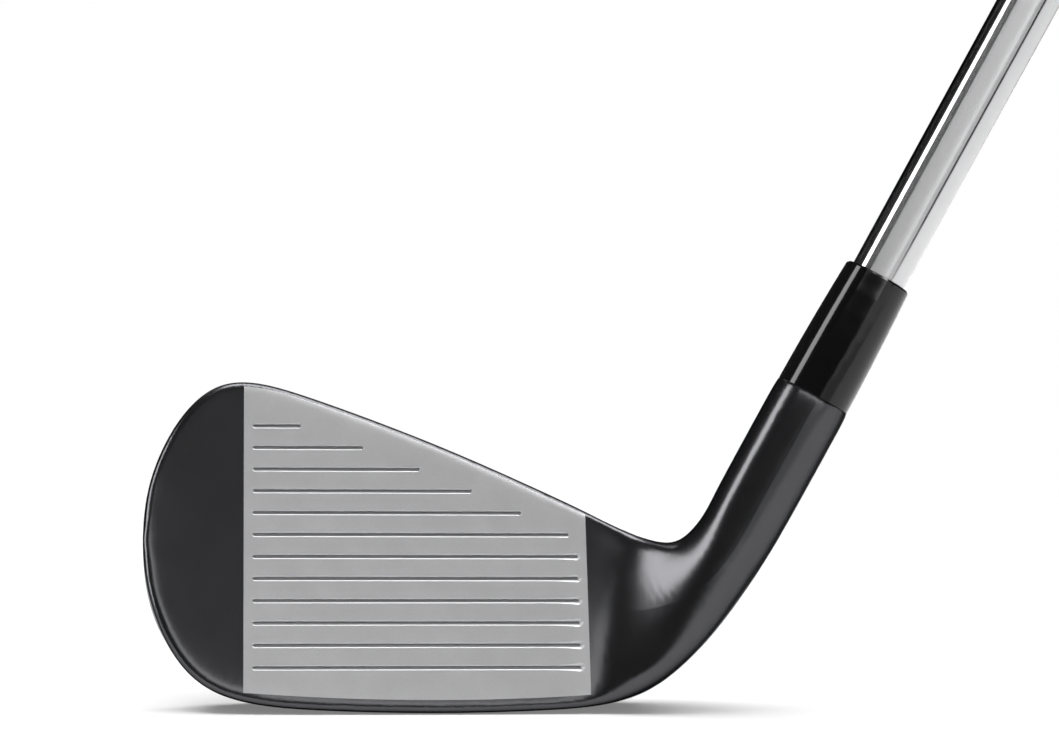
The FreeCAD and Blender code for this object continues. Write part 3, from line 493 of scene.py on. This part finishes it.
# %% [markdown]
# Six softboxes light the club, and each has its own work. A strip at the left draws the bright
# line along the shaft, the ferrule and the hosel. A box overhead draws the line along the top of
# the blade and the light valley at the heel. A wide box above is there for the table and gives
# the soft shadow. A box behind lifts the edge of the heel. A long box in front, tilted to lie
# nearly square to the shaft, lights the face and leaves the left side of the ferrule black, and a
# weak one above it fills in. In a studio, screens would hide a light from the table. Here a
# switch does it: the strip, the overhead box and the back box are only mirrored, and nothing
# mirrors the table's own box.

# %% Softboxes


def softbox(name, place, look_at, width, height, glow, roll=0):
    """A rectangular light, placed in metres from the head; glow is its cloth's brightness."""
    light = bpy.data.lights.new(name, "AREA")
    light.shape = "RECTANGLE"
    light.size, light.size_y = width, height
    light.energy = glow * math.pi * width * height
    lamp = bpy.data.objects.new(name, light)
    bpy.context.scene.collection.objects.link(lamp)
    lamp.location = head_middle + Vector(place)
    lamp.rotation_euler = (Vector(look_at) - Vector(place)).to_track_quat("-Z", "Y").to_euler()
    lamp.rotation_euler.rotate_axis("Z", math.radians(roll))
    lamp.visible_camera = False
    print(name, "gives", round(light.energy, 1), "W")
    return lamp


strip_left = softbox("strip_left", place=(-0.92, -0.04, 0.43), look_at=(0, 0, 0.03),
                     width=0.30, height=0.84, glow=7)
overhead = softbox("overhead", place=(0.5, 0.08, 1.3), look_at=(0.5, 0.08, 0),
                   width=1.6, height=0.6, glow=7.8)
table_light = softbox("table_light", place=(0.15, 0.1, 1.3), look_at=(0.15, 0.1, 0),
                      width=2.4, height=1.4, glow=6.7)
fill_back = softbox("fill_back", place=(-0.1, 1.0, 1.3), look_at=(-0.1, 1.0, 0),
                    width=1.5, height=0.5, glow=3.0)
softbox("front", place=(0.148, -1.3, 0.457), look_at=(0.02, 0, 0.039),
        width=2.82, height=0.22, glow=3.0, roll=-33)
softbox("front_high", place=(0.3, -1.0, 1.0), look_at=(0, 0, 0.03),
        width=1.6, height=0.8, glow=0.20)
for mirrored in (strip_left, overhead, fill_back):
    mirrored.visible_diffuse = False
table_light.visible_glossy = False

# %% [markdown]
# A studio that lights bright tubes hangs thin black cards beside them, called flags. The narrow
# one at the right draws one crisp dark line down the chrome, and two wider ones, at the left and
# behind, keep its left edge dark. They are long strips, made flat and then turned so that they
# run beside the shaft and face it. One loop hangs all three, from their angle round the tube in
# degrees, counted from the front towards the right, and their width in millimetres. Only
# reflections and shadows know them: the camera doesn't see them, and they are too narrow to throw
# a shadow that shows.

# %% Flags beside the shaft
FLAG_OFF, FLAG_FROM, FLAG_TO = 26 * MM, -894 * MM, -272 * MM
along_shaft = Vector(SHAFT_AXIS)
to_right = Vector((0, 1, 0)).cross(along_shaft)
black_card, tree = new_material("black_card")[:2]
shader = add(tree, "ShaderNodeBsdfDiffuse", {"Color": tint("#0a0a0a")})
add(tree, "ShaderNodeOutputMaterial", {"Surface": shader.outputs[0]})
for name, angle, width in (
        ("flag_right", 43.2, 3.4), ("flag_left", -113, 12), ("flag_back", -150, 16)):
    swing = math.radians(angle)
    outward = Vector((0, -1, 0)) * math.cos(swing) + to_right * math.sin(swing)
    card = bmesh.new()
    bmesh.ops.create_grid(card, x_segments=1, y_segments=1, size=1)
    bmesh.ops.scale(card, verts=card.verts, vec=(width * MM / 2, (FLAG_TO - FLAG_FROM) / 2, 1))
    facing = Matrix((along_shaft.cross(outward), along_shaft, outward)).transposed()
    bmesh.ops.rotate(card, verts=card.verts, cent=(0, 0, 0), matrix=facing)
    middle = along_shaft * (FLAG_FROM + FLAG_TO) / 2
    bmesh.ops.translate(card, verts=card.verts, vec=middle + outward * FLAG_OFF)
    flag = bpy.data.objects.new(name, bpy.data.meshes.new(name))
    card.to_mesh(flag.data)
    card.free()
    bpy.context.scene.collection.objects.link(flag)
    flag.data.materials.append(black_card)
    flag.visible_camera = flag.visible_diffuse = False
    print(name, "is", width, "mm wide")
